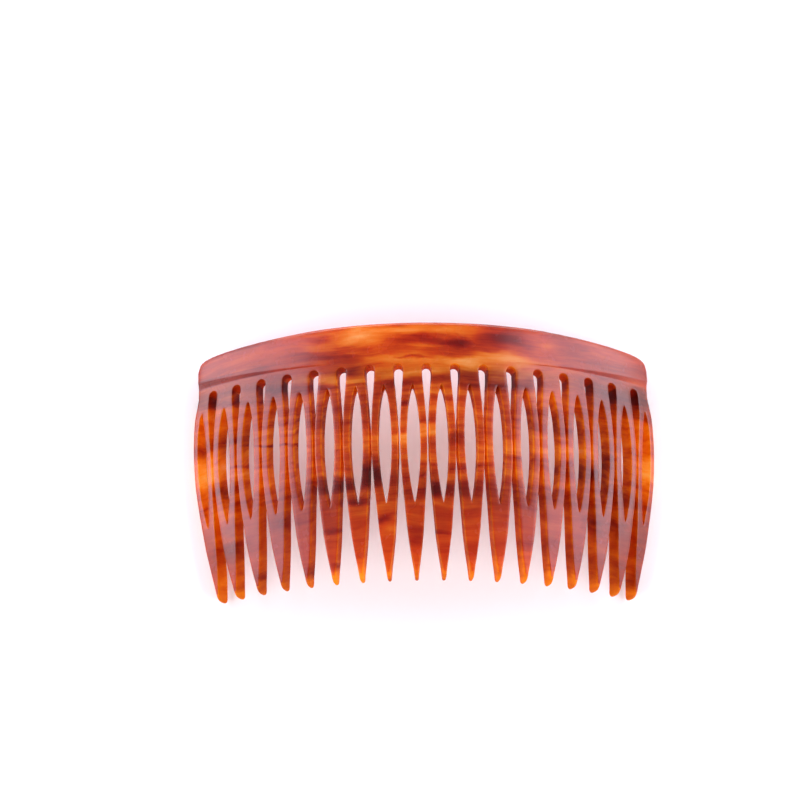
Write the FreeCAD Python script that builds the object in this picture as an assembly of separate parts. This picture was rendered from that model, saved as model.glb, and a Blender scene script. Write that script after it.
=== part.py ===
import FreeCAD, Part
import os
import math

# Decorative side comb ("French" hair comb) sawn and bent from one sheet of
# cellulose acetate: an arched spine carries eighteen pointed teeth, each
# pierced by a lens-shaped eye, with round-topped slots between the teeth.
#
# Shape language: everything is laid out on the flat sheet first and then bent.
#   u  distance along the arch on the outer (convex) skin, 0 at the middle
#   v  distance from the tops of the slots towards the tips, negative = spine
#   h  height above the outer skin of the toothed sheet, negative = inwards
# The bent sheet has radius bend_radius(v) and its crown line drops by
# crown_drop(v) towards the tips, so the comb follows the curve of a head.
# The comb is stored lying on its two spine ends and its two outermost tips,
# arch up: +Z up, +X along the arch, +Y from the tips towards the spine.

# ---------------------------------------------------------------- dimensions
TEETH = 18                     # teeth, each with one eye
PITCH = 5.518                  # tooth pitch along the outer skin at the slot tops
SHEET = 2.80                   # thickness of the toothed sheet
BEND_R = 72.8                  # outer bend radius at the slot tops
BEND_R_SLOPE = -0.0893         # change of that radius per mm towards the tips
BEND_R_CURVE = -0.005491       # and per mm squared
CROWN_SHARE = 0.30             # share of the curved part that lowers the crown line
PITCH_GROW = 0.001344          # pitch multiplier, linear term per mm
PITCH_CLOSE = -0.00005322      # pitch multiplier, square term per mm squared
TIP_V = 42.82                  # slot top to tip, middle teeth
END_TOOTH_SHORTER = 0.0272     # outermost teeth are this much shorter
ROOT_V = 0.94                  # centre line of the round slot tops = tooth roots
SLOT_TOP_W = 1.80              # width of the round slot tops
EDGE_R = 0.18                  # rounding along the edges of the teeth
END_WIDTH_SHARE = [(0.94, 0.724), (4.0, 0.80), (8.0, 0.85), (42.82, 0.85)]
#                              width of the two outermost teeth against the rest

SPINE_STEP = 0.45              # at its ends the spine stands this far proud of the teeth
STEP_LOW_V = -0.95             # foot of the step, just above the slot tops
STEP_HIGH_V = -2.60            # top of the step at the ends of the spine
STEP_FADE_U = 17.0             # the step dies away at this distance from the middle
STEP_FADE_POWER = 1.15
STEP_LEAST = 0.12              # least share of the step's width kept as a flat land
CROWN_R = 0.80                 # rounding along the top edge of the spine
SPINE_HALF_U = 47.80           # middle to either end of the spine
SPINE_TOP = [                  # height of the spine's crowned top edge: (u, v)
    (0.0, -8.98), (10.0, -8.96), (19.6, -8.85), (28.4, -8.46), (36.0, -8.09),
    (42.2, -7.70), (44.6, -7.44), (46.2, -7.05), (47.1, -6.55), (47.6, -5.95),
    (47.8, -5.20)]

# full width of a tooth against distance from the slot tops
TOOTH_W = [
    (0.94, 3.73), (1.94, 3.74), (3.10, 3.82), (4.26, 4.02), (5.57, 4.20),
    (6.77, 4.38), (8.05, 4.60), (9.29, 4.72), (10.45, 4.88), (11.71, 5.03),
    (12.91, 5.11), (15.29, 5.16), (17.61, 5.14), (18.96, 5.08), (20.12, 4.96),
    (21.29, 4.82), (22.45, 4.68), (23.68, 4.55), (24.85, 4.37), (26.01, 4.20),
    (27.15, 3.97), (28.31, 3.81), (29.45, 3.64), (30.61, 3.46), (31.73, 3.27),
    (32.90, 3.10), (34.06, 2.86), (35.16, 2.61), (36.28, 2.31), (37.40, 2.02),
    (38.51, 1.70), (39.65, 1.35), (40.75, 1.04), (41.80, 0.82), (42.82, 0.62)]
# full width of the eye
EYE_W = [
    (4.28, 0.10), (4.80, 0.52), (5.65, 0.95), (6.91, 1.40), (8.13, 1.78),
    (9.35, 2.02), (10.57, 2.20), (11.76, 2.38), (12.96, 2.47),
    (14.20, 2.54), (15.40, 2.58), (16.52, 2.58), (17.71, 2.54), (18.91, 2.42),
    (20.09, 2.26), (21.27, 2.10), (22.43, 1.88), (23.61, 1.60), (24.77, 1.29),
    (25.93, 0.95), (27.07, 0.56), (27.80, 0.30), (28.15, 0.16)]
# centre line of the two outermost teeth: distance from the middle
END_TOOTH_U = [
    (0.94, 46.45), (2.71, 46.72), (5.81, 47.10), (9.29, 47.12), (12.58, 47.04),
    (16.64, 46.90), (20.70, 46.68), (25.74, 46.24), (32.12, 45.60),
    (36.96, 44.98), (40.15, 44.68), (42.82, 44.52)]


# ------------------------------------------------------------------- helpers
def smooth(table, x):
    """Monotone cubic through the points of a table."""
    n = len(table)
    if x <= table[0][0]:
        return table[0][1]
    if x >= table[-1][0]:
        return table[-1][1]
    d = [(table[i + 1][1] - table[i][1]) / (table[i + 1][0] - table[i][0])
         for i in range(n - 1)]
    m = [d[0]] + [0.0] * (n - 2) + [d[-1]]
    for i in range(1, n - 1):
        if d[i - 1] * d[i] > 0:
            h0 = table[i][0] - table[i - 1][0]
            h1 = table[i + 1][0] - table[i][0]
            w0, w1 = 2 * h1 + h0, h1 + 2 * h0
            m[i] = (w0 + w1) / (w0 / d[i - 1] + w1 / d[i])
    i = 0
    while x > table[i + 1][0]:
        i += 1
    h = table[i + 1][0] - table[i][0]
    t = (x - table[i][0]) / h
    a = (1 + 2 * t) * (1 - t) ** 2
    b = t * (1 - t) ** 2
    c = t * t * (3 - 2 * t)
    e = t * t * (t - 1)
    return a * table[i][1] + b * h * m[i] + c * table[i + 1][1] + e * h * m[i + 1]


def bend_radius(v):
    return BEND_R + BEND_R_SLOPE * v + BEND_R_CURVE * v * v


def crown_drop(v):
    return CROWN_SHARE * BEND_R_CURVE * v * v


def skin(u, v, h):
    """A point of the bent sheet, before it is laid down."""
    r = bend_radius(v)
    a = u / r
    return FreeCAD.Vector((r + h) * math.sin(a), -v,
                          (r + h) * math.cos(a) - r + crown_drop(v))


def spine_skin(u, v, h):
    """The spine is bent to one radius, that of the tooth roots."""
    r = bend_radius(ROOT_V)
    a = u / r
    return FreeCAD.Vector((r + h) * math.sin(a), -v,
                          (r + h) * math.cos(a) - r + crown_drop(ROOT_V))


def pitch_at(v):
    return PITCH * (1 + PITCH_GROW * v + PITCH_CLOSE * v * v)


def tooth_length_share(k):
    j = abs(k - (TEETH - 1) / 2.0)
    return 1.0 - END_TOOTH_SHORTER * (j / ((TEETH - 1) / 2.0)) ** 2


def tooth_frame(k, n):
    """Centre on the outer skin, sideways and outward directions of tooth k
    at nominal station n along it."""
    side = k - (TEETH - 1) / 2.0
    v = ROOT_V + (n - ROOT_V) * tooth_length_share(k)
    if abs(side) > (TEETH - 1) / 2.0 - 0.5:
        u = math.copysign(smooth(END_TOOTH_U, n), side)
    else:
        u = side * pitch_at(v)
    r = bend_radius(v)
    a = u / r
    across = FreeCAD.Vector(math.cos(a), 0, -math.sin(a))
    out = FreeCAD.Vector(math.sin(a), 0, math.cos(a))
    return skin(u, v, 0.0), across, out


def width_share(k, n):
    return smooth(END_WIDTH_SHARE, n) if k in (0, TEETH - 1) else 1.0


def bar_section(c, across, out, w, top, bottom, r):
    """Rounded rectangle: width w, from bottom to top along out."""
    r = min(r, 0.42 * w)
    hw = w / 2.0
    q = r * (1 - math.sqrt(0.5))

    def p(s, h):
        return c + across * s + out * h
    pts = [p(-hw + r, top), p(hw - r, top), p(hw - q, top - q), p(hw, top - r),
           p(hw, bottom + r), p(hw - q, bottom + q), p(hw - r, bottom),
           p(-hw + r, bottom), p(-hw + q, bottom + q), p(-hw, bottom + r),
           p(-hw, top - r), p(-hw + q, top - q)]
    edges = [Part.LineSegment(pts[0], pts[1]).toShape(),
             Part.Arc(pts[1], pts[2], pts[3]).toShape(),
             Part.LineSegment(pts[3], pts[4]).toShape(),
             Part.Arc(pts[4], pts[5], pts[6]).toShape(),
             Part.LineSegment(pts[6], pts[7]).toShape(),
             Part.Arc(pts[7], pts[8], pts[9]).toShape(),
             Part.LineSegment(pts[9], pts[10]).toShape(),
             Part.Arc(pts[10], pts[11], pts[0]).toShape()]
    return Part.Wire(edges)


def plain_section(c, across, out, w, top, bottom):
    hw = w / 2.0
    pts = [c + across * -hw + out * top, c + across * hw + out * top,
           c + across * hw + out * bottom, c + across * -hw + out * bottom]
    return Part.makePolygon(pts + [pts[0]])


# --------------------------------------------------------------------- teeth
def make_tooth(k):
    stations = [ROOT_V + (TIP_V - ROOT_V) * i / 20.0 for i in range(21)]
    wires = []
    for n in stations:
        c, across, out = tooth_frame(k, n)
        wires.append(bar_section(c, across, out, smooth(TOOTH_W, n) * width_share(k, n),
                                 0.0, -SHEET, EDGE_R))
    body = Part.makeLoft(wires, True, False)

    first, last = EYE_W[0][0], EYE_W[-1][0]
    stations = [first, first + 0.2, first + 0.6, first + 1.4]
    stations += [first + 1.4 + (last - 1.2 - first - 1.4) * i / 11.0
                 for i in range(1, 12)]
    stations += [last - 0.6, last]
    wires = []
    for n in stations:
        c, across, out = tooth_frame(k, n)
        wires.append(plain_section(c, across, out, smooth(EYE_W, n) * width_share(k, n),
                                   1.0, -SHEET - 1.0))
    eye = Part.makeLoft(wires, True, False)
    return body.cut(eye)


# --------------------------------------------------------------------- spine
def step_share(u):
    """The step is full at the ends of the spine and gone in the middle."""
    t = (abs(u) - STEP_FADE_U) / (SPINE_HALF_U - 0.8 - STEP_FADE_U)
    return min(1.0, max(0.0, t)) ** STEP_FADE_POWER


def spine_section(u):
    top = smooth(SPINE_TOP, abs(u))
    share = step_share(u)
    hi = SPINE_STEP * share
    head_v = STEP_LOW_V + (STEP_HIGH_V - STEP_LOW_V) * max(share, STEP_LEAST)
    r = CROWN_R
    q = r * (1 - math.sqrt(0.5))

    def p(v, h):
        return spine_skin(u, v, h)
    root_out, root_in = p(ROOT_V, 0.0), p(ROOT_V, -SHEET)
    foot, head = p(STEP_LOW_V, 0.0), p(head_v, hi)
    step = Part.BSplineCurve()
    step.interpolate([foot, p(STEP_LOW_V * 0.72 + head_v * 0.28, hi * 0.16),
                      p((STEP_LOW_V + head_v) / 2, hi * 0.50),
                      p(STEP_LOW_V * 0.28 + head_v * 0.72, hi * 0.84), head])
    edges = [Part.LineSegment(root_in, root_out).toShape(),
             Part.LineSegment(root_out, foot).toShape(),
             step.toShape(),
             Part.LineSegment(head, p(top + r, hi)).toShape(),
             Part.Arc(p(top + r, hi), p(top + q, hi - q), p(top, hi - r)).toShape(),
             Part.LineSegment(p(top, hi - r), p(top, r - SHEET)).toShape(),
             Part.Arc(p(top, r - SHEET), p(top + q, q - SHEET),
                      p(top + r, -SHEET)).toShape(),
             Part.LineSegment(p(top + r, -SHEET), root_in).toShape()]
    return Part.Wire(edges)


def make_spine():
    us = [-SPINE_HALF_U * math.sin(math.pi / 2 * i / 16.0) for i in range(16, 0, -1)]
    us += [0.0] + [-x for x in reversed(us)]
    body = Part.makeLoft([spine_section(u) for u in us], True, False)
    for i in range(TEETH - 1):
        u = (i - (TEETH - 2) / 2.0) * pitch_at(ROOT_V)
        r = bend_radius(ROOT_V)
        a = u / r
        out = FreeCAD.Vector(math.sin(a), 0, math.cos(a))
        low = spine_skin(u, ROOT_V, 0.0) - out * (SHEET + 1.5)
        body = body.cut(Part.makeCylinder(SLOT_TOP_W / 2.0, SHEET + 3.5, low, out))
    return body


# ------------------------------------------------------- lay the comb down
nodes = [("spine", make_spine())]
for k in range(TEETH):
    nodes.append(("tooth_%02d" % (k + 1), make_tooth(k)))


def contact_points():
    """Lower corners of one spine end and of one outermost tip."""
    end = [spine_skin(SPINE_HALF_U, v, -SHEET)
           for v in (ROOT_V, 0.0, STEP_LOW_V, STEP_HIGH_V, -2.5, -3.0)]
    c, across, out = tooth_frame(TEETH - 1, TIP_V)
    w = smooth(TOOTH_W, TIP_V) * width_share(TEETH - 1, TIP_V)
    r = min(EDGE_R, 0.42 * w)
    tip = [c + across * (w / 2 - r) - out * SHEET,
           c + across * (w / 2) - out * (SHEET - r),
           c + across * (w / 2 - r * 0.293) - out * (SHEET - r * 0.293)]
    return end, tip


end_pts, tip_pts = contact_points()
rest = 0.0
for _ in range(12):
    turn = FreeCAD.Rotation(FreeCAD.Vector(1, 0, 0), -math.degrees(rest))
    s = min((turn.multVec(p) for p in end_pts), key=lambda p: p.z)
    t = min((turn.multVec(p) for p in tip_pts), key=lambda p: p.z)
    rest += math.atan2(s.z - t.z, s.y - t.y)
turn = FreeCAD.Placement(FreeCAD.Vector(), FreeCAD.Rotation(
    FreeCAD.Vector(1, 0, 0), -math.degrees(rest)))
for _, shape in nodes:
    shape.transformShape(turn.toMatrix())
box = FreeCAD.BoundBox()
for _, shape in nodes:
    for p in shape.tessellate(0.1)[0]:
        box.add(p)
shift = FreeCAD.Placement(FreeCAD.Vector(-(box.XMin + box.XMax) / 2.0,
                                         -(box.YMin + box.YMax) / 2.0, -box.ZMin),
                          FreeCAD.Rotation())
os.makedirs("parts", exist_ok=True)
total = 0.0
for name, shape in nodes:
    shape.transformShape(shift.toMatrix())
    solid = shape.Solids[0] if len(shape.Solids) == 1 else shape
    print(name, "solids", len(shape.Solids), "valid", shape.isValid(),
          "faces", len(shape.Faces), "volume %.2f" % shape.Volume)
    total += shape.Volume
    solid.exportStep("parts/%s.step" % name)
print("size %.2f x %.2f x %.2f" % (box.XLength, box.YLength, box.ZLength),
      "rest angle %.6f deg" % math.degrees(rest), "shift", shift.Base,
      "volume %.1f mm3" % total)
for k in range(TEETH):
    v = ROOT_V
    c, across, out = tooth_frame(k, v)
    p = c - out * (SHEET / 2.0)
    q = shift.multVec(turn.multVec(p))
    d = turn.Rotation.multVec(across)
    print("root tooth_%02d pos_m [%.6f, %.6f, %.6f] axis [%.6f, %.6f, %.6f]"
          % (k + 1, q.x / 1000, q.y / 1000, q.z / 1000, d.x, d.y, d.z))
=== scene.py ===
import bpy
import math
import numpy as np
from mathutils import Matrix, Vector


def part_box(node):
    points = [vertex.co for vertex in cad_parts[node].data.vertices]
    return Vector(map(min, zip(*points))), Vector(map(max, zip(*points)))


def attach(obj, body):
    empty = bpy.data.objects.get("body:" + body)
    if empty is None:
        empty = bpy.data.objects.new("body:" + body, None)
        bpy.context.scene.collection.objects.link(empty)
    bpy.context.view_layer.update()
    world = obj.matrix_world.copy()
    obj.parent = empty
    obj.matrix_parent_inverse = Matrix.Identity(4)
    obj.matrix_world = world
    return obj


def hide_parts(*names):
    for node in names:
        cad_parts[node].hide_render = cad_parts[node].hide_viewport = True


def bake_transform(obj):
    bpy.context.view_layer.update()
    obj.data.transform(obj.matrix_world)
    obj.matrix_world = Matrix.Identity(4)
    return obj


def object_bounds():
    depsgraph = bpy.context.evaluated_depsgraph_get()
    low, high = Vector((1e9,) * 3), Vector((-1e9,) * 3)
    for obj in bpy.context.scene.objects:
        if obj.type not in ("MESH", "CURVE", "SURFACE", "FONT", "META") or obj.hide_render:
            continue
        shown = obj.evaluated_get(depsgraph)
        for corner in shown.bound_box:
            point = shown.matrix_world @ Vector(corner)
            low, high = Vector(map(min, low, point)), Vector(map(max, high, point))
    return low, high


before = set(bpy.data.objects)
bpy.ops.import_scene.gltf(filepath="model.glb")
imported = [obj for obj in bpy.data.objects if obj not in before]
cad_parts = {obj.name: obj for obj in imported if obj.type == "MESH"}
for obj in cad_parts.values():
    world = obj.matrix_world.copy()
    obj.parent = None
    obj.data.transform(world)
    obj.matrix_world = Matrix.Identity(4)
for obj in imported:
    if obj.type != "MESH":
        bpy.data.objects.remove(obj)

cad_box = [list(map(float, c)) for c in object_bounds()]

# =====================================================================
# Shape of the comb. The same flat sheet layout as the design:
#   u along the arch, v from the slot tops to the tips, h out of the skin (mm)
# =====================================================================
TEETH = 18
PITCH, SHEET = 5.518, 2.80
BEND_R, BEND_R_SLOPE, BEND_R_CURVE, CROWN_SHARE = 72.8, -0.0893, -0.005491, 0.30
PITCH_GROW, PITCH_CLOSE = 0.001344, -0.00005322
TIP_V, END_SHORTER, ROOT_V, SLOT_B = 42.82, 0.0272, 0.94, 0.93
EDGE, TIP_EDGE = 0.18, 0.42
STEP_H, STEP_LOW, STEP_HIGH, CROWN_R, HALF_U = 0.45, -0.95, -2.60, 0.80, 47.80
STEP_FADE_U, STEP_FADE_POWER, STEP_LEAST = 17.0, 1.15, 0.12
END_EDGE = 0.50
REST = math.radians(4.518954)

SPINE_TOP = [(0.0, -8.98), (10.0, -8.96), (19.6, -8.85), (28.4, -8.46), (36.0, -8.09),
             (42.2, -7.70), (44.6, -7.44), (46.2, -7.05), (47.1, -6.55), (47.6, -5.95),
             (47.8, -5.20)]
TOOTH_W = [
    (0.94, 3.73), (1.94, 3.74), (3.10, 3.82), (4.26, 4.02), (5.57, 4.20),
    (6.77, 4.38), (8.05, 4.60), (9.29, 4.72), (10.45, 4.88), (11.71, 5.03),
    (12.91, 5.11), (15.29, 5.16), (17.61, 5.14), (18.96, 5.08), (20.12, 4.96),
    (21.29, 4.82), (22.45, 4.68), (23.68, 4.55), (24.85, 4.37), (26.01, 4.20),
    (27.15, 3.97), (28.31, 3.81), (29.45, 3.64), (30.61, 3.46), (31.73, 3.27),
    (32.90, 3.10), (34.06, 2.86), (35.16, 2.61), (36.28, 2.31), (37.40, 2.02),
    (38.51, 1.70), (39.65, 1.35), (40.75, 1.04), (41.80, 0.82), (42.82, 0.62)]
EYE_W = [
    (4.28, 0.10), (4.80, 0.52), (5.65, 0.95), (6.91, 1.40), (8.13, 1.78),
    (9.35, 2.02), (10.57, 2.20), (11.76, 2.38), (12.96, 2.47),
    (14.20, 2.54), (15.40, 2.58), (16.52, 2.58), (17.71, 2.54), (18.91, 2.42),
    (20.09, 2.26), (21.27, 2.10), (22.43, 1.88), (23.61, 1.60), (24.77, 1.29),
    (25.93, 0.95), (27.07, 0.56), (27.80, 0.30), (28.15, 0.16)]
END_U = [
    (0.94, 46.45), (2.71, 46.72), (5.81, 47.10), (9.29, 47.12), (12.58, 47.04),
    (16.64, 46.90), (20.70, 46.68), (25.74, 46.24), (32.12, 45.60),
    (36.96, 44.98), (40.15, 44.68), (42.82, 44.52)]
END_SHARE = [(0.94, 0.724), (4.0, 0.80), (8.0, 0.85), (42.82, 0.85)]


def cubic(table):
    """Monotone cubic through a table, for arrays."""
    x = np.array([a for a, _ in table])
    y = np.array([b for _, b in table])
    h = np.diff(x)
    d = np.diff(y) / h
    m = np.zeros(len(x))
    m[0], m[-1] = d[0], d[-1]
    for i in range(1, len(x) - 1):
        if d[i - 1] * d[i] > 0:
            w0, w1 = 2 * h[i] + h[i - 1], h[i] + 2 * h[i - 1]
            m[i] = (w0 + w1) / (w0 / d[i - 1] + w1 / d[i])

    def f(q):
        q = np.clip(np.asarray(q, float), x[0], x[-1])
        i = np.clip(np.searchsorted(x, q, side="right") - 1, 0, len(x) - 2)
        t = (q - x[i]) / h[i]
        return ((1 + 2 * t) * (1 - t) ** 2 * y[i] + t * (1 - t) ** 2 * h[i] * m[i]
                + t * t * (3 - 2 * t) * y[i + 1] + t * t * (t - 1) * h[i] * m[i + 1])
    return f


spine_top, tooth_w, eye_w = cubic(SPINE_TOP), cubic(TOOTH_W), cubic(EYE_W)
end_u, end_share = cubic(END_U), cubic(END_SHARE)


def smoothstep(a, b, x):
    t = np.clip((np.asarray(x, float) - a) / (b - a), 0, 1)
    return t * t * (3 - 2 * t)


def radius(v):
    """Bend radius; it eases into the spine's single radius above the roots."""
    v = np.asarray(v, float)
    w = np.clip((v - (ROOT_V - 1.5)) / 3.0, 0, 1)
    eased = np.where(v < ROOT_V + 1.5, ROOT_V + 1.5 * w * w, v)
    return BEND_R + BEND_R_SLOPE * eased + BEND_R_CURVE * eased * eased


def drop(v):
    v = np.maximum(np.asarray(v, float), ROOT_V)
    return CROWN_SHARE * BEND_R_CURVE * v * v


def skin(u, v, h):
    r = radius(v)
    a = u / r
    return np.stack([(r + h) * np.sin(a), -v + 0 * a, (r + h) * np.cos(a) - r + drop(v)], -1)


def pitch_at(v):
    return PITCH * (1 + PITCH_GROW * v + PITCH_CLOSE * v * v)


def length_share(k):
    j = abs(k - (TEETH - 1) / 2.0)
    return 1.0 - END_SHORTER * (j / ((TEETH - 1) / 2.0)) ** 2


def width_share(k, n):
    return end_share(n) if k in (0, TEETH - 1) else 1.0 + 0 * np.asarray(n, float)


def tooth_centre(k, n):
    side = k - (TEETH - 1) / 2.0
    v = ROOT_V + (n - ROOT_V) * length_share(k)
    if k in (0, TEETH - 1):
        return math.copysign(1.0, side) * end_u(n), v
    return side * pitch_at(v), v


# hand-filing differences between the teeth, a few hundredths of a mm: the generator is seeded, but the lean
# and the length are all zero
rng = np.random.default_rng(18)
TIP_LEAN = np.zeros(TEETH)
TIP_LONG = np.zeros(TEETH)
NOSE = 0.55


def half_width(k, n):
    n = np.asarray(n, float)
    w = 0.5 * tooth_w(n) * width_share(k, n)
    start = TIP_V - NOSE
    w0 = 0.5 * tooth_w(start) * width_share(k, start)
    t = np.clip((n - start) / NOSE, 0, 1)
    return np.where(n > start, w0 * np.sqrt(np.maximum(0, 1 - t * t)), w)


EYE_A, EYE_B = 4.20, 28.25


def eye_half(k, n):
    n = np.asarray(n, float)
    w = 0.5 * eye_w(n) * width_share(k, n)
    top = np.clip((n - EYE_A) / 0.22, 0, 1)
    low = np.clip((EYE_B - n) / 0.5, 0, 1)
    w = w * np.sqrt(np.maximum(0, 1 - (1 - top) ** 2)) * low ** 0.8
    return np.where((n <= EYE_A + 1e-9) | (n >= EYE_B - 1e-9), 0.0, w)


def rounding(d, r):
    """How far a face drops at distance d from its edge, for an edge radius r."""
    q = np.clip((r - d) / r, 0, 1)
    return r * (1 - np.sqrt(np.maximum(0, 1 - q * q)))


def distance(p, line):
    """Distance of 2-D points from a polyline."""
    a, b = line[:-1], line[1:]
    ab = b - a
    best = np.full(len(p), 1e9)
    for i in range(0, len(p), 4000):
        q = p[i:i + 4000, None, :] - a[None]
        t = np.clip((q * ab[None]).sum(-1) / np.maximum((ab * ab).sum(-1), 1e-18)[None], 0, 1)
        d = q - t[..., None] * ab[None]
        best[i:i + 4000] = np.sqrt((d * d).sum(-1)).min(1)
    return best


OFFS = np.array([0.0, 0.0761, 0.2929, 0.6173, 1.0])
WALL_ROWS = 4


class Net:
    """Vertices with their place on the flat sheet, and faces."""

    def __init__(self):
        self.p, self.s, self.f, self.cap = [], [], [], []

    def add(self, pos, sheet):
        i = sum(len(a) for a in self.p)
        self.p.append(np.asarray(pos, float).reshape(-1, 3))
        self.s.append(np.asarray(sheet, float).reshape(-1, 3))
        return i + np.arange(len(self.p[-1]))

    def quad(self, a, b, c, d, cap=False):
        q = []
        for i in (a, b, c, d):
            if i not in q:
                q.append(int(i))
        if len(q) > 2:
            self.f.append(q)
            self.cap.append(cap)

    def strip(self, a, b):
        """Quads between two rows of vertices of equal length."""
        for i in range(len(a) - 1):
            self.quad(a[i], a[i + 1], b[i + 1], b[i])

    def ngon(self, loop):
        self.f.append([int(i) for i in loop])
        self.cap.append(True)


# ---------------------------------------------------------------- one tooth
def tooth_place(k, s, n, h):
    """From tooth coordinates to the bent sheet: s across, n along, h out."""
    u, v = tooth_centre(k, n)
    lean = TIP_LEAN[k] * smoothstep(8.0, TIP_V, n)
    s = s + lean
    r = radius(v)
    a = u / r
    c = skin(u, v, 0.0 * u)
    across = np.stack([np.cos(a), 0 * a, -np.sin(a)], -1)
    out = np.stack([np.sin(a), 0 * a, np.cos(a)], -1)
    flat = c + across * s[..., None] + out * h[..., None]
    bent = skin(u + s, v, h)
    w = smoothstep(ROOT_V, ROOT_V + 3.0, n)[..., None]
    return bent * (1 - w) + flat * w, np.stack([u + s, v + 0 * s, h], -1)


def stations():
    a, b = EYE_A, EYE_B
    up = [0.03, 0.09, 0.18, 0.32, 0.55, 0.9]
    into = [0.02, 0.06, 0.12, 0.2, 0.32, 0.5, 0.75, 1.1, 1.6, 2.2]
    low = [0.03, 0.08, 0.15, 0.25, 0.4, 0.6, 0.9, 1.3]
    n = [ROOT_V, 1.3, 1.8, 2.4]
    n += [a - x for x in reversed(up)] + [a] + [a + x for x in into]
    mid0, mid1 = a + into[-1], b - low[-1]
    m = 22
    n += [mid0 + (mid1 - mid0) * i / m for i in range(1, m)]
    n += [b - x for x in reversed(low)] + [b] + [b + x for x in (0.03, 0.09, 0.18, 0.32, 0.6)]
    t0, t1 = b + 0.6, TIP_V - 1.5
    m = 14
    n += [t0 + (t1 - t0) * i / m for i in range(1, m + 1)]
    n += [TIP_V - x for x in (1.25, 1.0, 0.8, 0.66)] + [TIP_V - NOSE]
    n += [TIP_V - NOSE * (1 - math.sin(math.radians(x))) for x in (18, 36, 52, 66, 78, 85)]
    n += [TIP_V]
    return np.array(n)


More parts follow.
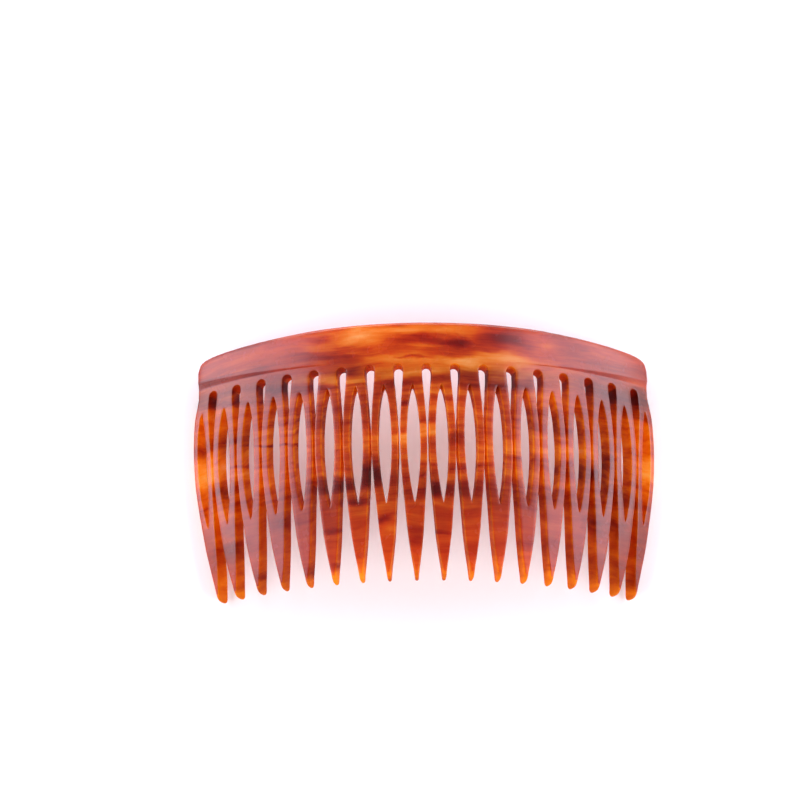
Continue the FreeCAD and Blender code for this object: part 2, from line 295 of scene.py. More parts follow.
def build_tooth(k):
    net = Net()
    n = stations()
    ns = len(n)
    hw, eh = half_width(k, n), eye_half(k, n)
    edge = EDGE + (TIP_EDGE - EDGE) * smoothstep(38.0, TIP_V, n)
    # outline polylines for true distances
    fine = np.concatenate([np.linspace(ROOT_V, TIP_V - NOSE, 500),
                           TIP_V - NOSE + NOSE * np.sin(np.linspace(0, math.pi / 2, 60))[1:]])
    fw = half_width(k, fine)
    side = np.stack([fw, fine], 1)
    outer = np.concatenate([np.stack([fw, fine], 1), np.stack([-fw, fine], 1)[::-1]])
    ef = np.concatenate([np.linspace(EYE_A, EYE_A + 1, 80), np.linspace(EYE_A + 1, EYE_B, 300)[1:]])
    ew = eye_half(k, ef)
    eye = np.concatenate([np.stack([ew, ef], 1), np.stack([-ew, ef], 1)[::-1]])

    # columns of the right half, from the outer wall to the middle or the eye
    cols = []
    for i in range(ns):
        leg = hw[i] - eh[i]
        r = min(edge[i], 0.42 * leg)
        r2 = min(EDGE, 0.42 * leg)
        a = hw[i] - OFFS * r
        b = eh[i] + OFFS[::-1] * r2
        mid = [a[-1] + (b[0] - a[-1]) * t for t in (1 / 3.0, 2 / 3.0)]
        cols.append(np.concatenate([a, mid, b]))
    cols = np.array(cols)                       # stations x 12
    nc = cols.shape[1]
    has_eye = (n > EYE_A + 1e-9) & (n < EYE_B - 1e-9)
    at_end = np.isclose(n, EYE_A) | np.isclose(n, EYE_B)
    tip = ns - 1

    nn = np.repeat(n[:, None], nc, 1)
    ee = np.repeat(edge[:, None], nc, 1)
    pts = np.stack([cols.ravel(), nn.ravel()], 1)
    d_out = distance(pts, outer).reshape(ns, nc)
    d_eye = distance(pts, eye).reshape(ns, nc)
    d_out[:, 0] = 0.0
    d_eye[has_eye | at_end, -1] = 0.0
    drop_top = np.maximum(rounding(d_out, ee), rounding(d_eye, EDGE))
    drop_low = np.maximum(rounding(d_out, ee), rounding(d_eye, EDGE))
    # bullet nose: both faces turn in towards each other near the tip
    drop_top = drop_top + rounding(TIP_V - nn, 1.45) * 0.75
    drop_low = drop_low + rounding(TIP_V - nn, 1.25) * 0.62

    def row(i, sign, top):
        s = cols[i] * sign
        h = -drop_top[i] if top else -SHEET + drop_low[i]
        p, q = tooth_place(k, s, np.full(nc, n[i]), h)
        return net.add(p, q)

    def wall(i, s, r_top, r_low):
        h = np.linspace(-r_top, -SHEET + r_low, WALL_ROWS + 1)[1:-1]
        p, q = tooth_place(k, np.full(len(h), s), np.full(len(h), n[i]), h)
        return net.add(p, q)

    ring = []
    for i in range(ns):
        e_t, e_l = drop_top[i, 0], drop_low[i, 0]
        z_t, z_l = drop_top[i, -1], drop_low[i, -1]
        g = {}
        if i == tip:
            p, q = tooth_place(k, np.zeros(1), np.full(1, n[i]), np.array([-e_t]))
            t = net.add(p, q)[0]
            w = wall(i, 0.0, e_t, e_l)
            p, q = tooth_place(k, np.zeros(1), np.full(1, n[i]), np.array([-SHEET + e_l]))
            b = net.add(p, q)[0]
            for s in (1, -1):
                g[s] = dict(top=np.full(nc, t), low=np.full(nc, b), wall=w, eye=None)
            ring.append(g)
            continue
        for s in (1, -1):
            top, low = row(i, s, True), row(i, s, False)
            g[s] = dict(top=top, low=low, wall=wall(i, s * hw[i], e_t, e_l), eye=None)
        if has_eye[i]:
            for s in (1, -1):
                g[s]["eye"] = wall(i, s * eh[i], z_t, z_l)
        else:
            g[-1]["top"][-1] = g[1]["top"][-1]
            g[-1]["low"][-1] = g[1]["low"][-1]
            if at_end[i]:
                w = wall(i, 0.0, z_t, z_l)
                g[1]["eye"] = g[-1]["eye"] = w
        ring.append(g)

    for i in range(ns - 1):
        a, b = ring[i], ring[i + 1]
        for s in (1, -1):
            A, B = a[s], b[s]
            lt = [A["top"], B["top"]]
            ll = [A["low"], B["low"]]
            wa = np.concatenate([[A["top"][0]], A["wall"], [A["low"][0]]])
            wb = np.concatenate([[B["top"][0]], B["wall"], [B["low"][0]]])
            if s == 1:
                net.strip(lt[0], lt[1])
                net.strip(ll[1], ll[0])
                net.strip(wb, wa)
            else:
                net.strip(lt[1], lt[0])
                net.strip(ll[0], ll[1])
                net.strip(wa, wb)
            eye_here = (has_eye[i] or at_end[i]) and (has_eye[i + 1] or at_end[i + 1])
            if eye_here:
                ea = np.concatenate([[A["top"][-1]], A["eye"], [A["low"][-1]]])
                eb = np.concatenate([[B["top"][-1]], B["eye"], [B["low"][-1]]])
                if s == 1:
                    net.strip(ea, eb)
                else:
                    net.strip(eb, ea)
    # closed root face
    g = ring[0]
    loop = (list(g[1]["top"]) + list(g[-1]["top"][::-1][1:]) + list(g[-1]["wall"])
            + list(g[-1]["low"]) + list(g[1]["low"][::-1][1:]) + list(g[1]["wall"][::-1]))
    net.ngon(loop[::-1])
    return net


# ---------------------------------------------------------------- the spine
def step_share(u):
    t = (np.abs(u) - STEP_FADE_U) / (HALF_U - 0.8 - STEP_FADE_U)
    return np.clip(t, 0, 1) ** STEP_FADE_POWER


def step_height(u, v):
    """The step is full at the ends of the spine and gone in the middle."""
    share = step_share(u)
    head = STEP_LOW + (STEP_HIGH - STEP_LOW) * np.maximum(share, STEP_LEAST)
    t = np.clip((np.asarray(v, float) - STEP_LOW) / (head - STEP_LOW), 0, 1)
    # a nearly straight bevel, eased only at its foot and its head
    e = 0.16
    bevel = np.where(t < e, t * t / (2 * e), np.where(t > 1 - e, 1 - e - (1 - t) ** 2 / (2 * e), t - e / 2))
    return STEP_H * share * bevel / (1 - e)


def build_spine():
    net = Net()
    side0 = (TEETH - 1) / 2.0
    uc = np.array([tooth_centre(k, np.array(ROOT_V))[0] for k in range(TEETH)], float)
    hw = np.array([half_width(k, np.array(ROOT_V)) for k in range(TEETH)], float)
    m = 12
    slots = []
    for i in range(TEETH - 1):
        c = (i - (TEETH - 2) / 2.0) * pitch_at(ROOT_V)
        slots.append((c, c - (uc[i] + hw[i]), (uc[i + 1] - hw[i + 1]) - c))

    # base line of the grid, left to right, as (u, v, kind)
    base = []
    end_off = OFFS * EDGE
    left = -HALF_U
    for o in end_off:
        base.append((left + o, ROOT_V, "end"))
    ring_cols = []                                # index of each ring's first column

    def inner(k, skip_first, skip_last):
        a, b = uc[k] - hw[k] + EDGE, uc[k] + hw[k] - EDGE
        xs = np.linspace(a, b, 6)
        if skip_first:
            xs = xs[1:]
        if skip_last:
            xs = xs[:-1]
        for x in xs:
            base.append((x, ROOT_V, "tooth"))
    inner(0, True, True)
    phis = [math.pi * (1 - j / m) for j in range(m + 1)]
    for i, (c, wl, wr) in enumerate(slots):
        ring_cols.append(len(base))
        for phi in phis:
            w = (wl if phi > math.pi / 2 else wr) + EDGE
            base.append((c + w * math.cos(phi), ROOT_V - (SLOT_B + EDGE) * math.sin(phi), "ring"))
        if i < len(slots) - 1:
            inner(i + 1, True, True)
    inner(TEETH - 1, True, True)
    for o in end_off[::-1]:
        base.append((HALF_U - o, ROOT_V, "end"))
    bu = np.array([b[0] for b in base])
    bv = np.array([b[1] for b in base])
    nb = len(base)

    # evenly spread columns higher up, so that they don't bunch over the slots
    top_u = bu.copy()
    anchors = [0, 4] + [rc for rc in ring_cols] + [rc + m for rc in ring_cols] + [nb - 5, nb - 1]
    for rc in ring_cols:
        top_u[rc:rc + m + 1] = np.linspace(bu[rc], bu[rc + m], m + 1)

    # rows that follow the foot and the head of the step, as shares of its width
    fixed = [0.0, 0.06, 0.13, 0.22, 0.36, 0.5, 0.64, 0.78, 0.87, 0.94, 1.0, 1.1]
    head = STEP_LOW + (STEP_HIGH - STEP_LOW) * np.maximum(step_share(bu), 0.3)
    rows_v, rows_u = [bv], [bu]
    for t in (0.33, 0.66):
        rows_v.append(bv + (STEP_LOW - bv) * t)
        rows_u.append(bu + (top_u - bu) * (t * 0.5))
    for j, share in enumerate(fixed):
        rows_v.append(STEP_LOW + (head - STEP_LOW) * share)
        w = 0.6 + 0.4 * min(1.0, j / 6.0)
        rows_u.append(bu + (top_u - bu) * w)
    vt = spine_top(np.abs(top_u))
    last = rows_v[-1]
    # crown rows, closer together on the rounding
    steep = np.gradient(vt, top_u)
    stretch = np.sqrt(1 + np.clip(steep, -2.2, 2.2) ** 2)
    r_local = np.minimum(CROWN_R * stretch, 0.8 * (last - vt))
    for t in (0.2, 0.4, 0.6, 0.8):
        rows_v.append(last + (vt + r_local - last) * t)
        rows_u.append(top_u)
    for o in OFFS[::-1]:
        rows_v.append(vt + r_local * o)
        rows_u.append(top_u)
    V, U = np.array(rows_v), np.array(rows_u)
    nr = len(V)

    # outline: up one end, along the crown, down the other end
    fu = np.linspace(-HALF_U, HALF_U, 3001)
    fu = HALF_U * np.sin(fu / HALF_U * math.pi / 2)
    crown = np.stack([fu, spine_top(np.abs(fu))], 1)
    lend = np.array([[-HALF_U, ROOT_V + 3], [-HALF_U, -5.20]])
    rend = np.array([[HALF_U, -5.20], [HALF_U, ROOT_V + 3]])
    P = np.stack([U.ravel(), V.ravel()], 1)
    near = np.zeros(len(P), bool)
    d_crown = distance(P, crown[::3]).reshape(nr, nb)
    d_end = np.minimum(distance(P, lend), distance(P, rend)).reshape(nr, nb)
    d_crown[-1, :] = 0.0
    d_end[:, 0] = 0.0
    d_end[:, -1] = 0.0
    corner = smoothstep(-4.2, -6.2, V)
    r_side = EDGE + (END_EDGE - EDGE) * smoothstep(-0.6, -2.4, V)
    r_end = r_side + (CROWN_R - r_side) * corner
    fall = np.maximum(rounding(d_crown, CROWN_R), rounding(d_end, r_end))
    # one edge radius at the outline itself, wherever it is reached from
    fall[-1, :] = CROWN_R
    fall[:-1, 0] = r_end[:-1, 0]
    fall[:-1, -1] = r_end[:-1, -1]

    top_h = step_height(U, V) - fall
    low_h = -SHEET + fall
    top = np.arange(nr * nb).reshape(nr, nb)
    pos = skin(U, V, top_h)
    i0 = net.add(pos, np.stack([U, V, top_h], -1))[0]
    top = top + i0
    pos = skin(U, V, low_h)
    low = np.arange(nr * nb).reshape(nr, nb) + net.add(pos, np.stack([U, V, low_h], -1))[0]
    for r in range(nr - 1):
        net.strip(top[r], top[r + 1])
        net.strip(low[r + 1], low[r])

    # walls along the outline
    line = ([(r, 0) for r in range(nr)] + [(nr - 1, c) for c in range(1, nb)]
            + [(r, nb - 1) for r in range(nr - 2, -1, -1)])
    prev = None
    first_wall = last_wall = None
    for r, c in line:
        hs = np.linspace(top_h[r, c], low_h[r, c], WALL_ROWS + 1)[1:-1]
        uu, vv = np.full(len(hs), U[r, c]), np.full(len(hs), V[r, c])
        w = net.add(skin(uu, vv, hs), np.stack([uu, vv, hs], -1))
        colm = np.concatenate([[top[r, c]], w, [low[r, c]]])
        if prev is not None:
            net.strip(colm, prev)
        prev = colm
        if first_wall is None:
            first_wall = w
        last_wall = w

    # rounded rings round the slot tops, with their walls
    rings = []
    for i, (c, wl, wr) in enumerate(slots):
        tops, lows, walls = [], [], []
        for j, phi in enumerate(phis):
            w = wl if phi > math.pi / 2 else wr
            t_ids, l_ids = [], []
            for o in OFFS[:-1]:
                d = o * EDGE
                u = c + (w + d) * math.cos(phi)
                v = ROOT_V - (SLOT_B + d) * math.sin(phi)
                f = float(rounding(np.array(d), EDGE))
                t_ids.append((u, v, -f))
                l_ids.append((u, v, -SHEET + f))
            hs = np.linspace(-EDGE, -SHEET + EDGE, WALL_ROWS + 1)[1:-1]
            w_ids = [(t_ids[0][0], t_ids[0][1], h) for h in hs]
            a = np.array(t_ids + l_ids + w_ids)
            ids = net.add(skin(a[:, 0], a[:, 1], a[:, 2]), a)
            q = len(OFFS) - 1
            tops.append(np.concatenate([ids[:q], [top[0, ring_cols[i] + j]]]))
            lows.append(np.concatenate([ids[q:2 * q], [low[0, ring_cols[i] + j]]]))
            walls.append(ids[2 * q:])
        for j in range(m):
            net.strip(tops[j + 1], tops[j])
            net.strip(lows[j], lows[j + 1])
            a = np.concatenate([[tops[j][0]], walls[j], [lows[j][0]]])
            b = np.concatenate([[tops[j + 1][0]], walls[j + 1], [lows[j + 1][0]]])
            net.strip(a, b)
        rings.append((tops, lows, walls))

    # closed tooth roots
    for k in range(TEETH):
        if k == 0:
            lt, ll, lw = list(top[0, :5]), list(low[0, :5]), list(first_wall)
            a = 4
        else:
            tops, lows, walls = rings[k - 1]
            lt, ll, lw = list(tops[-1]), list(lows[-1]), list(walls[-1])
            a = ring_cols[k - 1] + m
        if k == TEETH - 1:
            rt, rl, rw = list(top[0, -5:]), list(low[0, -5:]), list(last_wall)
            b = nb - 5
        else:
            tops, lows, walls = rings[k]
            rt, rl, rw = list(tops[0][::-1]), list(lows[0][::-1]), list(walls[0])
            b = ring_cols[k]
        loop = (lt + list(top[0, a + 1:b]) + rt + rw
                + rl[::-1] + list(low[0, a + 1:b])[::-1] + ll[::-1] + lw[::-1])
        net.ngon(loop[::-1])
    return net


# --------------------------------------------------------- into the frame
turn = Matrix.Rotation(-REST, 3, "X")
TURN = np.array(turn)


def finish_mesh(name, net, shift):
    p = np.concatenate(net.p) @ TURN.T + shift
    s = np.concatenate(net.s)
    mesh = bpy.data.meshes.new(name)
    mesh.from_pydata([tuple(x) for x in p * 0.001], [], net.f)
    a = mesh.attributes.new("sheet", "FLOAT_VECTOR", "POINT")
    a.data.foreach_set("vector", s.astype(np.float32).ravel())
    mesh.polygons.foreach_set("use_smooth", [not c for c in net.cap])
    # only the closed root faces have hard edges
    hard = set()
    for f, c in zip(net.f, net.cap):
        if c:
            for x, y in zip(f, f[1:] + f[:1]):
                hard.add((min(x, y), max(x, y)))
    sharp = mesh.attributes.new("sharp_edge", "BOOLEAN", "EDGE")
    sharp.data.foreach_set("value", [tuple(sorted(e.vertices)) in hard for e in mesh.edges])
    mesh.validate()
    mesh.update()
    ob = bpy.data.objects.new(name, mesh)
    bpy.context.scene.collection.objects.link(ob)
    return ob


nets = {"spine": build_spine()}
for k in range(TEETH):
    nets["tooth_%02d" % (k + 1)] = build_tooth(k)

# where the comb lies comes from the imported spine
sp = np.concatenate(nets["spine"].p) @ TURN.T
lo, hi = [np.array(c) * 1000.0 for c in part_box("spine")]
shift = np.array([0.5 * (lo[0] + hi[0]), hi[1] - sp[:, 1].max(), hi[2] - sp[:, 2].max()])

pieces = {}
for name, net in nets.items():
    pieces[name] = finish_mesh(name + "_acetate", net, shift)

# ------------------------------------------------------------- the imported parts hidden
for name, ob in pieces.items():
    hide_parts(name)


# =====================================================================
# Materials
# =====================================================================
class Nodes:
    def __init__(self, mat):
        self.t = mat.node_tree
        self.t.nodes.clear()

    def new(self, kind, **kw):
        n = self.t.nodes.new(kind)
        for k, v in kw.items():
            if k in ("operation", "blend_type", "data_type", "noise_dimensions", "normalize",
                     "attribute_name", "interpolation_type", "clamp", "attribute_type",
                     "feature", "distance", "vector_type", "rotation_type", "wave_type",
                     "noise_type"):
                setattr(n, k, v)
            else:
                n.inputs[k].default_value = v
        return n

    def link(self, a, b):
        self.t.links.new(a, b)
        return b

    def math(self, op, a, b=None, c=None, clamp=False):
        n = self.t.nodes.new("ShaderNodeMath")
        n.operation = op
        n.use_clamp = clamp
        for i, v in enumerate((a, b, c)):
            if v is None:
                continue
            if hasattr(v, "links"):
                self.t.links.new(v, n.inputs[i])
            else:
                n.inputs[i].default_value = v
        return n.outputs[0]

    def scaled(self, vec, x, y, z, ox=0.0, oy=0.0, oz=0.0):
        n = self.t.nodes.new("ShaderNodeMapping")
        n.inputs["Scale"].default_value = (x, y, z)
        n.inputs["Location"].default_value = (ox, oy, oz)
        self.t.links.new(vec, n.inputs["Vector"])
        return n.outputs[0]

    def noise(self, vec, scale, detail=3.0, rough=0.5, distortion=0.0, w=None):
        n = self.t.nodes.new("ShaderNodeTexNoise")
        n.inputs["Scale"].default_value = scale
        n.inputs["Detail"].default_value = detail
        n.inputs["Roughness"].default_value = rough
        n.inputs["Distortion"].default_value = distortion
        self.t.links.new(vec, n.inputs["Vector"])
        return n.outputs["Fac"]

    def range(self, v, a, b, c=0.0, d=1.0, kind="SMOOTHSTEP"):
        n = self.t.nodes.new("ShaderNodeMapRange")
        n.interpolation_type = kind
        self.t.links.new(v, n.inputs["Value"])
        n.inputs["From Min"].default_value = a
        n.inputs["From Max"].default_value = b
        n.inputs["To Min"].default_value = c
        n.inputs["To Max"].default_value = d
        return n.outputs[0]

    def mix(self, fac, a, b, blend="MIX"):
        n = self.t.nodes.new("ShaderNodeMix")
        n.data_type = "RGBA"
        n.blend_type = blend
        for s, v in ((n.inputs[0], fac), (n.inputs[6], a), (n.inputs[7], b)):
            if hasattr(v, "links"):
                self.t.links.new(v, s)
            else:
                s.default_value = v if not isinstance(v, tuple) else (*v, 1.0)
        return n.outputs[2]


# Larger amber and dark patches in this sheet, listed one by one:
#   u, v, half length, half height (mm), tilt (degrees), strength
STREAKS = [
    (-34.2, -6, 22, 1.9, -8, 0.12), (-38, -7.7, 9, 2.2, -6, -0.15),
    (-42.9, -5.2, 3.9, 2.2, 14, -0.12), (-27.8, -6.4, 9.6, 1.5, 5, -0.15),
    (-22.3, -4.9, 5.4, 1.5, 11, 0.26), (-20.3, -2.5, 11.4, 1.5, 11, -0.24),
    (-15.5, -6.6, 6.1, 2.2, -16, 0.2), (-21.4, -6.5, 7.1, 1.1, 3, -0.14),
    (-1.1, -7.3, 16.2, 1.5, 0, 0.24), (-13.1, -6, 5.9, 2.2, 5, 0.22),
    (0.4, -5.6, 8.1, 1.9, 0, -0.2), (-5.6, -3.8, 4.4, 1.9, 2, -0.2),
    (6, -4.4, 3.7, 1.5, -3, -0.26), (15.1, -6.5, 6.3, 2.6, -5, -0.22),
    (7.5, -2.7, 13.5, 2.2, -1, -0.16), (-3, -1.5, 4.7, 0.5, 1, -0.34),
    (3, -0.5, 20.3, 1.9, 2, 0.18), (7.7, -0.6, 5.2, 1.1, -1, 0.2),
    (-4.8, 1.8, 11.5, 1.9, 2, 0.2), (12.8, -1.9, 6.9, 1.5, -1, 0.2),
    (-14.5, 1.3, 3.4, 1.9, 4, -0.24), (8.4, 3.6, 18.9, 1.9, 1, -0.24),
    (-6.7, 4, 8.8, 1.5, -1, -0.18), (0.9, 5.8, 10.1, 1.5, 0, 0.2),
    (19.7, -5, 7.8, 2.2, 3, -0.18), (23.7, -4.5, 3.7, 1.9, -8, 0.24),
    (29.3, -5.8, 8.4, 3, 24, -0.2), (18.4, -1.9, 9.6, 1.5, 2, 0.28),
    # the (35.4, -1.3) patch is a painted shade along the step at the right end, not a dark layer
    (27.5, -1.3, 12.8, 1.1, 1, 0.12), (35.4, -1.3, 10.2, 0.9, 2, -0.22),
    (44.2, -1.3, 4.5, 1.1, -2, 0.2), (36.5, 2.1, 8.1, 1.9, -3, -0.2),
    (45.7, 1.7, 3.4, 2.2, 25, -0.3), (-40.6, 3.6, 14.8, 1.1, 10, -0.24),
    (-30.1, 3.2, 4.5, 2.2, 10, -0.24), (-24.3, 3.3, 7.9, 1.9, 8, -0.26),
    (-20.4, 2.2, 11.9, 1.5, 4, 0.24), (-30.2, 14.3, 9, 0.4, 10, -0.36),
    (-30, 16.2, 10.7, 2.2, 10, 0.18), (-38.9, 16.9, 4.1, 0.7, 12, -0.28),
    (-46.7, 17.7, 4.5, 5.6, 13, 0.5), (-18.7, 24, 7, 1.9, 2, -0.32),
    (-10.9, 22.5, 4, 3, 4, -0.42), (-4.6, 15.8, 5, 1.9, 2, 0.28),
    (0, 12, 4.4, 0.8, 0, -0.3), (0.8, 14.3, 4.6, 3, 0, 0.24),
    (-4.3, 8.2, 2.3, 1.1, 2, -0.28), (1.5, 24.9, 2.6, 2.2, 0, -0.3),
    (5.9, 25.7, 10.1, 1.9, 1, -0.28), (-18.6, 33, 3.2, 0.6, 6, -0.34),
    (-18.3, 39.6, 2.5, 0.8, 8, -0.34), (-18.5, 42.2, 2.5, 3.3, 6, 0.2),
    (-22.9, 40.6, 2.5, 2.2, 6, -0.32), (-33.4, 39.4, 3.6, 1.1, 10, -0.32),
    (-29.4, 30, 6, 2.6, 9, -0.32), (-41.9, 30.7, 3.8, 1.1, 12, 0.26),
    (-41.8, 33.4, 4.4, 3, 13, -0.26), (-43.1, 38.4, 3.7, 3.7, 12, 0.32),
    (-43.4, 25.3, 4.4, 1.9, 13, 0.32), (-38.8, 32.3, 5.9, 3.3, 11, -0.22),
    (-37.7, 42.2, 3.4, 1.9, 12, 0.28), (-14, 27.8, 4.8, 1.1, 2, -0.3),
    (-13.4, 42.2, 2.7, 4.1, 6, 0.24), (-8.7, 31.1, 2.9, 1, -17, -0.44),
    (-7.4, 33.2, 3, 1.5, 2, 0.34), (-2.9, 34.9, 3.3, 2.6, 2, -0.22),
    (2.3, 34.3, 3.3, 0.6, 0, -0.32), (33.9, 19.7, 3.3, 1.9, -9, -0.4),
    (37.1, 16.9, 2.6, 4.1, -12, -0.3), (33.5, 29.9, 3.4, 2.6, -10, -0.42),
    (38.6, 29.5, 3.1, 1.5, -11, -0.4), (43.2, 39, 4.5, 1.9, -12, -0.36),
    (30.7, 15.8, 10.4, 1.9, -9, 0.22), (47.9, 16.6, 3.5, 5.6, -13, 0.32),
    (25.6, 42.2, 10, 2.2, -7, 0.24), (41, 3, 7, 1.9, -7, -0.26)]


def ramp(N, value, stops):
    n = N.t.nodes.new("ShaderNodeValToRGB")
    r = n.color_ramp
    r.interpolation = "B_SPLINE"
    r.elements[0].position, r.elements[0].color = stops[0][0], (*stops[0][1], 1)
    r.elements[1].position, r.elements[1].color = stops[-1][0], (*stops[-1][1], 1)
    for p, c in stops[1:-1]:
        r.elements.new(p).color = (*c, 1)
    N.link(value, n.inputs[0])
    return n.outputs["Color"]


def acetate(name, sawn):
    """The acetate itself: the polished faces, or the sawn walls between teeth."""
    mat = bpy.data.materials.new(name)
    mat.use_nodes = True
    N = Nodes(mat)
    t = N.t
    at = t.nodes.new("ShaderNodeAttribute")
    at.attribute_name = "sheet"
    at.attribute_type = "GEOMETRY"
    sep = t.nodes.new("ShaderNodeSeparateXYZ")
    N.link(at.outputs["Vector"], sep.inputs[0])
    along, depth = sep.outputs["Y"], sep.outputs["Z"]
    # the layers lie at a slant through the thickness of the sheet
    slant = t.nodes.new("ShaderNodeCombineXYZ")
    N.link(sep.outputs["X"], slant.inputs["X"])
    N.link(N.math("MULTIPLY_ADD", depth, -0.43, along), slant.inputs["Y"])
    N.link(depth, slant.inputs["Z"])
    sheet = slant.outputs[0]

    # slow waviness of the layers in the block the sheet was sliced from
    def warped(scale, amount, off):
        w = t.nodes.new("ShaderNodeTexNoise")
        w.inputs["Scale"].default_value = 1.0
        w.inputs["Detail"].default_value = 2.0
        N.link(N.scaled(sheet, *scale, *off), w.inputs["Vector"])
        c = t.nodes.new("ShaderNodeVectorMath")
        c.operation = "SUBTRACT"
        N.link(w.outputs["Color"], c.inputs[0])
        c.inputs[1].default_value = (0.5, 0.5, 0.5)
        v = t.nodes.new("ShaderNodeVectorMath")
        v.operation = "MULTIPLY_ADD"
        N.link(c.outputs[0], v.inputs[0])
        v.inputs[1].default_value = amount
        N.link(sheet, v.inputs[2])
        return v.outputs[0]
    flow = warped((0.045, 0.10, 0.10), (7.0, 5.0, 3.0), (3.1, 7.7, 1.3))
    ragged = warped((0.22, 0.55, 0.25), (3.2, 1.9, 0.0), (6.1, 2.7, 4.3))

    # layers of amber and red-brown, drawn out along the arch
    broad = N.noise(N.scaled(flow, 0.055, 0.20, 0.12, 1.7, 0.4, 5.2), 1.0, 2.0, 0.5)
    bands = N.noise(N.scaled(flow, 0.075, 0.50, 0.16, 9.1, 2.2, 0.8), 1.0, 3.0, 0.55)
    fine = N.noise(N.scaled(flow, 0.13, 1.9, 0.15, 4.4, 8.1, 2.6), 1.0, 3.0, 0.6)
    grain = N.noise(N.scaled(flow, 1.2, 3.0, 1.6, 2.0, 3.0, 6.0), 1.0, 2.0, 0.5)

    def part(v, k):
        return N.math("MULTIPLY", N.math("SUBTRACT", v, 0.5), k)
    tone = N.math("ADD", part(broad, 0.55), part(bands, 0.60))
    tone = N.math("ADD", tone, part(fine, 0.22))
    tone = N.math("ADD", tone, part(grain, 0.07))
    tone = N.math("ADD", tone, 0.46)
    outer = N.math("ABSOLUTE", sep.outputs["X"])
    for u, v, su, sv, tilt, k in STREAKS:
        m = t.nodes.new("ShaderNodeMapping")
        m.vector_type = "TEXTURE"
        m.inputs["Location"].default_value = (u, v, -1.4)
        m.inputs["Rotation"].default_value = (0, 0, math.radians(tilt))
        m.inputs["Scale"].default_value = (su, sv, 9.0)
        N.link(ragged, m.inputs["Vector"])
        g = t.nodes.new("ShaderNodeTexGradient")
        g.gradient_type = "SPHERICAL"
        N.link(m.outputs[0], g.inputs["Vector"])
        tone = N.math("MULTIPLY_ADD", g.outputs["Fac"], k, tone)
    # the teeth are a little darker than the spine, except for their points
    tone = N.math("SUBTRACT", tone, N.range(along, 14.0, 28.0, 0.0, 0.06))
    # the points are a more even brown than the legs above them
    calm = N.range(along, 23.0, 31.0, 1.0, 0.55)
    tone = N.math("ADD", N.math("MULTIPLY", N.math("SUBTRACT", tone, 0.43), calm), 0.43)
    tone = N.math("ADD", tone, N.range(along, 37.0, 42.5, 0.0, 0.06))
    if not sawn:
        # towards the ends of the sheet the faces are more even, and darker with painted shade
        # where they turn away from the light; at the left end the slope below the heading carries more
        # painted shade
        even = N.range(outer, 13.0, 33.0, 1.0, 0.62)
        tone = N.math("ADD", N.math("MULTIPLY", N.math("SUBTRACT", tone, 0.42), even), 0.42)
        # painted shade: the faces darken towards the ends, where they turn away from the light
        tone = N.math("SUBTRACT", tone, N.range(outer, 13.0, 33.0, 0.0, 0.085))
        # painted shade on the slope below the heading at the left end, where it catches no reflection
        painted_slope_shade = N.math("MULTIPLY", N.range(along, -2.75, -2.45), N.range(along, -0.80, -1.10))
        painted_slope_shade = N.math("MULTIPLY", painted_slope_shade, N.range(sep.outputs["X"], -24.0, -38.0, 0.0, 0.13))
        tone = N.math("SUBTRACT", tone, painted_slope_shade)
    if sawn:
        # sawn side walls: the same layers without the surface film; their colour is a painted glow,
        # brighter and more saturated than the faces', standing in for light passing within the sheet
        # painted shade: the walls darken towards the slot tops, in the recess where little light reaches
        tone = N.math("SUBTRACT", tone, N.range(along, 5.0, 1.2, 0.0, 0.24))
        # painted light: the spine's own slot walls are lifted to even out the rendered shade step at the
        # joint with the teeth
        tone = N.math("ADD", tone, N.range(along, 1.0, 0.9, 0.0, 0.09))
        # painted glow: the walls are lighter towards the ends of the sheet, for light shining through from
        # behind
        tone = N.math("ADD", tone, N.range(outer, 20.0, 36.0, 0.0, 0.03))
        # painted glow: this ramp is brighter and more saturated than the faces' ramp, for light within the
        # sheet
        colour = ramp(N, tone, [
            (0.12, (0.075, 0.007, 0.0004)), (0.28, (0.22, 0.032, 0.0005)),
            (0.42, (0.50, 0.135, 0.001)), (0.54, (0.73, 0.27, 0.002)),
            (0.72, (0.95, 0.48, 0.01)), (0.95, (1.0, 0.82, 0.30))])
        through = ramp(N, tone, [
            (0.12, (0.20, 0.010, 0.001)), (0.28, (0.44, 0.040, 0.001)),
            (0.42, (0.74, 0.16, 0.002)), (0.54, (0.88, 0.29, 0.004)),
            (0.72, (1.0, 0.52, 0.02)), (0.95, (1.0, 0.86, 0.40))])
    else:
        colour = ramp(N, tone, [
            (0.12, (0.075, 0.008, 0.008)), (0.28, (0.165, 0.021, 0.010)),
            (0.42, (0.33, 0.062, 0.011)), (0.54, (0.54, 0.145, 0.014)),
            (0.72, (0.83, 0.35, 0.030)), (0.95, (1.0, 0.72, 0.32))])
        through = ramp(N, tone, [
            (0.12, (0.34, 0.012, 0.003)), (0.28, (0.66, 0.040, 0.005)),
            (0.42, (0.93, 0.140, 0.010)), (0.54, (0.98, 0.23, 0.016)),
            (0.72, (1.0, 0.43, 0.06)), (0.95, (1.0, 0.84, 0.45))])

    # hand polish: a slow unevenness of the faces and of their gloss
    bump = t.nodes.new("ShaderNodeBump")
    bump.inputs["Strength"].default_value = 0.25
    bump.inputs["Distance"].default_value = 0.00006
    N.link(N.noise(N.scaled(sheet, 0.35, 0.5, 0.5), 1.0, 2.0, 0.4), bump.inputs["Height"])
    rub = N.noise(N.scaled(sheet, 0.35, 0.30, 0.35, 0.3, 0.9, 0.2), 1.0, 2.0, 0.5)

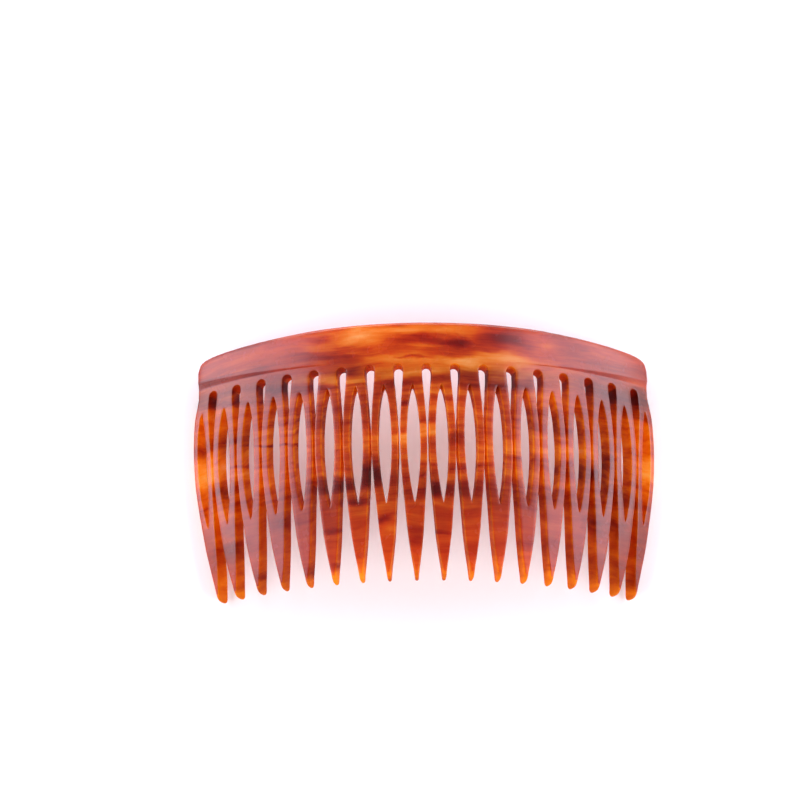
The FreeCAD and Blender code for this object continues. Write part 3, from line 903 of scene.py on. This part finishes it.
    b = t.nodes.new("ShaderNodeBsdfPrincipled")
    N.link(colour, b.inputs["Base Color"])
    low, high = (0.38, 0.46) if sawn else (0.23, 0.29)
    N.link(N.range(rub, 0.3, 0.7, low, high, "LINEAR"), b.inputs["Roughness"])
    b.inputs["IOR"].default_value = 1.49
    b.inputs["Specular IOR Level"].default_value = 0.25 if sawn else 1.0
    b.inputs["Coat Weight"].default_value = 0.0 if sawn else 1.0   # the polished film
    b.inputs["Coat Roughness"].default_value = 0.20
    b.inputs["Coat IOR"].default_value = 1.49
    N.link(bump.outputs[0], b.inputs["Normal"])
    tr = t.nodes.new("ShaderNodeBsdfTranslucent")
    N.link(through, tr.inputs["Color"])
    mx = t.nodes.new("ShaderNodeMixShader")
    mx.inputs[0].default_value = 0.6
    N.link(b.outputs[0], mx.inputs[1])
    N.link(tr.outputs[0], mx.inputs[2])
    out = t.nodes.new("ShaderNodeOutputMaterial")
    N.link(mx.outputs[0], out.inputs["Surface"])
    return mat


polished = acetate("tortoiseshell_acetate", False)
sawn_wall_painted_glow = acetate("tortoiseshell_acetate_sawn_painted_glow", True)
for ob in pieces.values():
    mesh = ob.data
    mesh.materials.append(polished)
    mesh.materials.append(sawn_wall_painted_glow)
    at = np.empty(len(mesh.vertices) * 3, np.float32)
    mesh.attributes["sheet"].data.foreach_get("vector", at)
    at = at.reshape(-1, 3)
    for p in mesh.polygons:
        # the slots and eyes are sawn; the faces and the outer rim are polished
        along, level = at[list(p.vertices)].mean(0)[1:]
        p.material_index = 1 if along > -1.2 and -2.72 < level < -0.03 else 0


# =====================================================================
# Floor, lights and camera
# =====================================================================
def world_point(p):
    """A point of the unrotated comb, in metres in the row frame."""
    return Vector((TURN @ np.array(p, float) + shift) * 0.001)


me = bpy.data.meshes.new("floor")
F = 1.6
me.from_pydata([(-F, -F, 0), (F, -F, 0), (F, F, 0), (-F, F, 0)], [], [(0, 1, 2, 3)])
floor = bpy.data.objects.new("floor", me)
bpy.context.scene.collection.objects.link(floor)
floor.location.z = cad_box[0][2] - 0.00002
fm = bpy.data.materials.new("pale_floor")
fm.use_nodes = True
fb = fm.node_tree.nodes["Principled BSDF"]
fb.inputs["Base Color"].default_value = (0.92, 0.92, 0.94, 1)
fb.inputs["Roughness"].default_value = 0.6
fb.inputs["Emission Color"].default_value = (0.97, 0.98, 1.0, 1)
fb.inputs["Emission Strength"].default_value = 0.06      # a white sheet lit from below
me.materials.append(fm)

scene = bpy.context.scene
scene.view_settings.view_transform = "Standard"
world = bpy.data.worlds.new("studio")
scene.world = world
world.use_nodes = True
W = Nodes(world)
# a white tent: bright near the horizon and to the two sides, dim overhead
tc = W.t.nodes.new("ShaderNodeTexCoord")
wz = W.t.nodes.new("ShaderNodeSeparateXYZ")
W.link(tc.outputs["Generated"], wz.inputs[0])
sky = W.range(wz.outputs["Z"], 0.22, 0.60, 1.15, 0.10)
side = W.math("ABSOLUTE", wz.outputs["X"])
sky = W.math("MULTIPLY", sky, W.range(side, 0.25, 0.90, 0.55, 1.50))
lp = W.t.nodes.new("ShaderNodeLightPath")
seen = W.math("ADD", W.math("MULTIPLY", lp.outputs["Is Camera Ray"],
                            W.math("SUBTRACT", 0.96, sky)), sky)
bg = W.t.nodes.new("ShaderNodeBackground")
bg.inputs["Color"].default_value = (0.96, 0.98, 1.0, 1)
W.link(seen, bg.inputs["Strength"])
wo = W.t.nodes.new("ShaderNodeOutputWorld")
W.link(bg.outputs[0], wo.inputs["Surface"])


def area(name, loc, aim, size_x, size_y, power, colour=(1, 1, 1)):
    li = bpy.data.lights.new(name, "AREA")
    li.shape = "RECTANGLE"
    li.size, li.size_y = size_x, size_y
    li.energy = power
    li.color = colour
    ob = bpy.data.objects.new(name, li)
    scene.collection.objects.link(ob)
    ob.location = loc
    d = Vector(aim) - Vector(loc)
    ob.rotation_euler = d.to_track_quat("-Z", "Y").to_euler()
    return ob


mid = Vector((0, 0, 0.008))
area("card_left", (-0.64, 0.28, 0.38), mid, 0.55, 0.53, 3.5, (0.93, 0.83, 0.98))
area("card_right", (0.62, 0.28, 0.41), mid, 0.55, 0.53, 3.5, (0.93, 0.83, 0.98))
area("side_left", (-0.72, -0.42, 0.40), mid, 0.40, 0.40, 4.9, (1.0, 0.97, 1.0))
area("side_right", (0.72, -0.42, 0.40), mid, 0.40, 0.40, 4.9, (1.0, 0.97, 1.0))
area("front_fill", (0.0, -0.75, 0.55), mid, 0.90, 0.55, 0.9, (1.0, 0.99, 0.99))
area("key", (0.0, -0.62, 0.95), mid, 0.90, 0.50, 2.0, (1.0, 0.99, 0.99))
area("back_fill", (0.0, 0.80, 0.30), mid, 1.2, 0.30, 5.2, (0.99, 1.0, 0.99))

# camera: the comb seen from the teeth side, nearly from above
PX = 0.19350 * 0.998428633
TX, TY, TILT, YAW, ROLL, FAR = 426.438742, 363.246329, 0.409526131, 0.038947455, 0.0206224955, 3000.0


def rot(axis, angle):
    c, s = math.cos(angle), math.sin(angle)
    if axis == "x":
        return np.array([[1, 0, 0], [0, c, s], [0, -s, c]])
    if axis == "y":
        return np.array([[c, 0, s], [0, 1, 0], [-s, 0, c]])
    return np.array([[c, -s, 0], [s, c, 0], [0, 0, 1]])


to_cam = rot("z", ROLL) @ rot("x", TILT) @ rot("y", YAW)
M = to_cam @ TURN.T
t_cam = np.array([(TX - 400.0) * PX, -(TY - 400.0) * PX, -FAR * PX]) - M @ shift
loc = -M.T @ t_cam * 0.001
cam_data = bpy.data.cameras.new("camera")
cam_data.sensor_width = 36.0
cam_data.lens = 36.0 * FAR / 800.0
cam_data.clip_start, cam_data.clip_end = 0.01, 20.0
cam = bpy.data.objects.new("camera", cam_data)
scene.collection.objects.link(cam)
mw = np.eye(4)
mw[:3, :3] = M.T
mw[:3, 3] = loc
cam.matrix_world = Matrix(mw.tolist())
scene.camera = cam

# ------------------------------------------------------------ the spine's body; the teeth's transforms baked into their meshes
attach(pieces["spine"], "spine")
for name, ob in pieces.items():
    if name == "spine":
        continue
    k = int(name[-2:]) - 1
    along = world_point((0, -1.0, 0)) - world_point((0, 0, 0))      # towards the tips
    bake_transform(ob)
